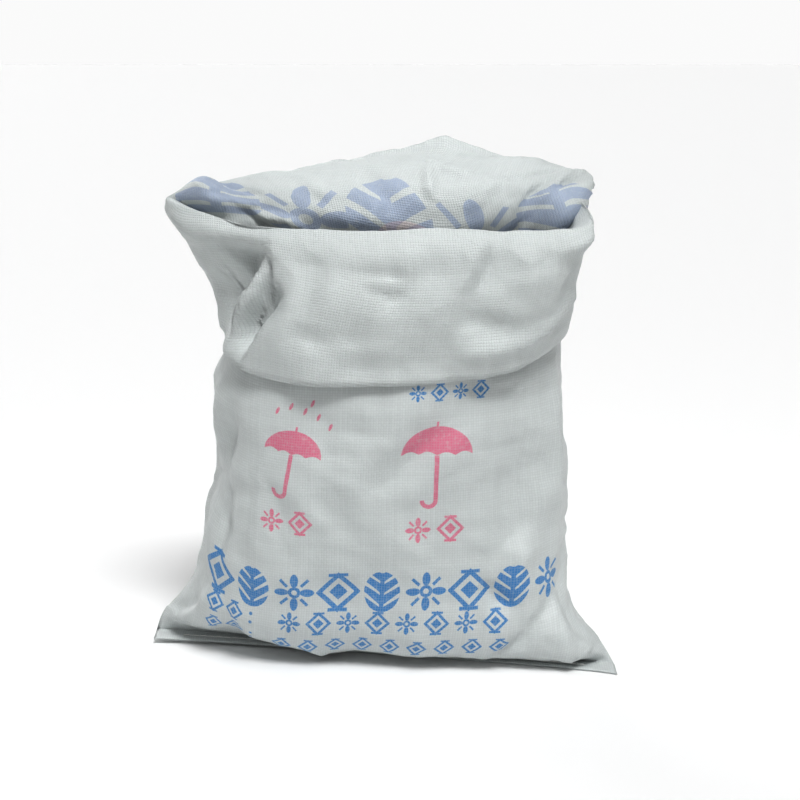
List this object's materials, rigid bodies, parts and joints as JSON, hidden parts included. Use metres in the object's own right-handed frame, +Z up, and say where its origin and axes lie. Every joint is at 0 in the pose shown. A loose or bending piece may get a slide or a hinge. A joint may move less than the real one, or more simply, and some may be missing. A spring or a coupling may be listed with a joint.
{
  "type": "woven polypropylene bag",
  "caption": "Filled woven polypropylene sack standing on its flat base, with a sewn bottom hem, corner ears and an open mouth turned out over the front as a cuff.",
  "frame": {"origin": "on the floor under the middle of the sack's bounding box", "axes": "+Z up; -Y towards the printed front and the hanging cuff; +X to the viewer's right"},
  "size_m": [0.47, 0.2443, 0.5136],
  "materials": {
    "woven_cloth": "satin",
    "mineral_powder": "matte",
    "sewing_thread": "matte"
  },
  "bodies": {
    "root": {"woven_sack": "woven_cloth", "packed_powder": "mineral_powder", "hem_thread": "sewing_thread"}
  },
  "joints": []
}
